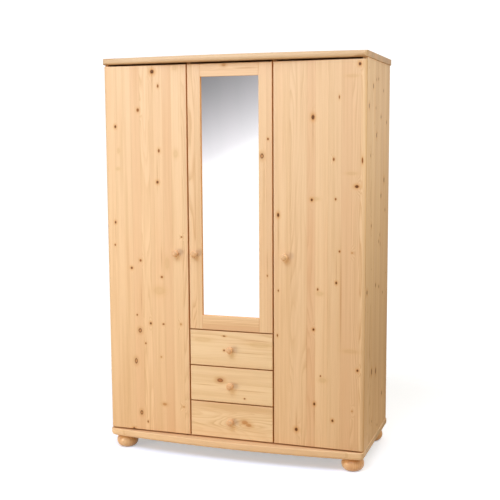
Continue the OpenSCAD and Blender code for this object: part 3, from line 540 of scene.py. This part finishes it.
def plane(name, width, height, material):
    """A flat rectangle facing +Z at the origin."""
    mesh = bpy.data.meshes.new(name)
    x, y = width / 2, height / 2
    mesh.from_pydata([(-x, -y, 0), (x, -y, 0), (x, y, 0), (-x, y, 0)], [], [(0, 1, 2, 3)])
    mesh.materials.append(material)
    made = bpy.data.objects.new(name, mesh)
    bpy.context.scene.collection.objects.link(made)
    return made


def lay_floor():
    """A pale floor round the object, which fades into the white room. The light that it throws back, and what
    gloss sees of it behind the object, are those of a darker, warmer floor."""
    s = Shader("studio_floor")
    place = s.place()
    fine = s.noise(place, 40.0, 2.0)
    colour = s.mix(s.spread(fine, 0.3, 0.7), opaque((0.98, 0.98, 0.98)), opaque((0.995, 1.00, 1.00)))
    paper = s.add("ShaderNodeBsdfDiffuse", {"Color": colour})
    glow = s.add("ShaderNodeEmission", {"Color": opaque((0.90, 0.99, 1.06)), "Strength": FLOOR_GLOW})
    lit = s.add("ShaderNodeAddShader", {0: paper.outputs[0], 1: glow.outputs[0]})
    dark = s.add("ShaderNodeBsdfDiffuse", {"Color": opaque(FLOOR_BOUNCE)})
    rays = s.add("ShaderNodeLightPath").outputs
    behind = s.math("MULTIPLY", rays["Is Glossy Ray"], s.spread(s.split(place)[1], -0.2, 0.4))
    dimmed = s.math("MAXIMUM", rays["Is Diffuse Ray"], behind)
    shown = s.add("ShaderNodeMixShader", {0: dimmed, 1: lit.outputs[0], 2: dark.outputs[0]})
    clear = s.add("ShaderNodeBsdfTransparent")
    out = s.spread(s.vector("LENGTH", place), FLOOR_RADIUS * 0.55, FLOOR_RADIUS)
    either = s.add("ShaderNodeMixShader", {0: out, 1: shown.outputs[0], 2: clear.outputs[0]})
    output = s.add("ShaderNodeOutputMaterial")
    s.tree.links.new(either.outputs[0], output.inputs["Surface"])
    plane("floor", 2 * FLOOR_RADIUS, 2 * FLOOR_RADIUS, s.material)


def hang_studio_flag():
    """A grey flag with a soft edge, which only the mirror and the lacquer see."""
    s = Shader("studio_flag")
    x, y, _ = s.split(s.place())
    away = s.math("MULTIPLY_ADD", x, 0.39, s.math("MULTIPLY", y, -0.83))
    level = s.math("MULTIPLY_ADD", away, s.math("MULTIPLY_ADD", away, 0.84, 0.54), 0.30)
    level = s.math("MAXIMUM", level, 0.28)
    glow = s.add("ShaderNodeEmission", {"Color": s.combine(level, s.math("MULTIPLY", level, 0.965), level)})
    clear = s.add("ShaderNodeBsdfTransparent")
    share = s.spread(away, 0.60, 0.78)
    seen = s.add("ShaderNodeMixShader", {0: share, 1: glow.outputs[0], 2: clear.outputs[0]})
    output = s.add("ShaderNodeOutputMaterial")
    s.tree.links.new(seen.outputs[0], output.inputs["Surface"])
    flag = plane("studio_flag", FLAG_SIZE, FLAG_SIZE, s.material)
    flag.location = FLAG_PLACE
    flag.rotation_euler = (math.radians(90), 0, 0)
    flag.visible_camera = flag.visible_diffuse = flag.visible_shadow = False


def area_light(name, place, target, size, power, colour):
    """A rectangular light bank that the camera doesn't see."""
    light = bpy.data.lights.new(name, "AREA")
    light.shape = "RECTANGLE"
    light.size, light.size_y = size
    light.energy, light.color = power, colour
    lamp = bpy.data.objects.new(name, light)
    lamp.location = place
    lamp.visible_camera = False
    lamp.rotation_euler = (Vector(target) - Vector(place)).to_track_quat("-Z", "Y").to_euler()
    bpy.context.scene.collection.objects.link(lamp)


def light_studio():
    """A dim warm room with light banks at the front, the left, the right and overhead. The camera sees
    white beyond the floor, and gloss sees a pale room that is dark only low down at the back right."""
    world = bpy.data.worlds.new("studio")
    bpy.context.scene.world = world
    s = Shader(world)
    direction = s.add("ShaderNodeTexCoord").outputs["Generated"]
    high = s.spread(s.split(direction)[2], -0.10, 0.02)
    lean = s.vector("DOT_PRODUCT", direction, Vector(BRIGHT_SIDE).normalized())
    dark, front, above = GLOSS_LEVELS
    level = s.math("MAXIMUM", s.spread(lean, -0.35, 0.75, dark, front), s.math("MULTIPLY", high, above))
    white = opaque(1.0)
    room = s.add("ShaderNodeBackground", {"Color": opaque(ROOM_COLOUR), "Strength": ROOM_LEVEL})
    gloss = s.add("ShaderNodeBackground", {"Color": white, "Strength": level})
    beyond = s.add("ShaderNodeBackground", {"Color": white, "Strength": BEYOND_LEVEL})
    rays = s.add("ShaderNodeLightPath").outputs
    lit = s.add("ShaderNodeMixShader", {0: rays["Is Glossy Ray"], 1: room.outputs[0], 2: gloss.outputs[0]})
    seen = s.add("ShaderNodeMixShader", {0: rays["Is Camera Ray"], 1: lit.outputs[0], 2: beyond.outputs[0]})
    s.tree.links.new(seen.outputs[0], s.add("ShaderNodeOutputWorld").inputs["Surface"])
    for bank in LIGHT_BANKS:
        area_light(*bank)


def place_camera():
    """The photograph's angle: from the right of the front, at chest height, looking slightly down."""
    camera = bpy.data.objects.new("camera", bpy.data.cameras.new("camera"))
    camera.data.lens = LENS
    camera.data.sensor_width = 36.0
    camera.location = CAMERA_PLACE
    yaw, pitch, roll = CAMERA_TURN
    aim = Euler((0, 0, yaw)).to_matrix() @ Euler((math.pi / 2 + pitch, 0, 0)).to_matrix()
    camera.rotation_euler = (aim @ Euler((0, 0, roll)).to_matrix()).to_euler()
    bpy.context.scene.collection.objects.link(camera)
    bpy.context.scene.camera = camera


place_camera()
paint()
lay_floor()
hang_studio_flag()
light_studio()
bpy.context.scene.view_settings.view_transform = "Standard"
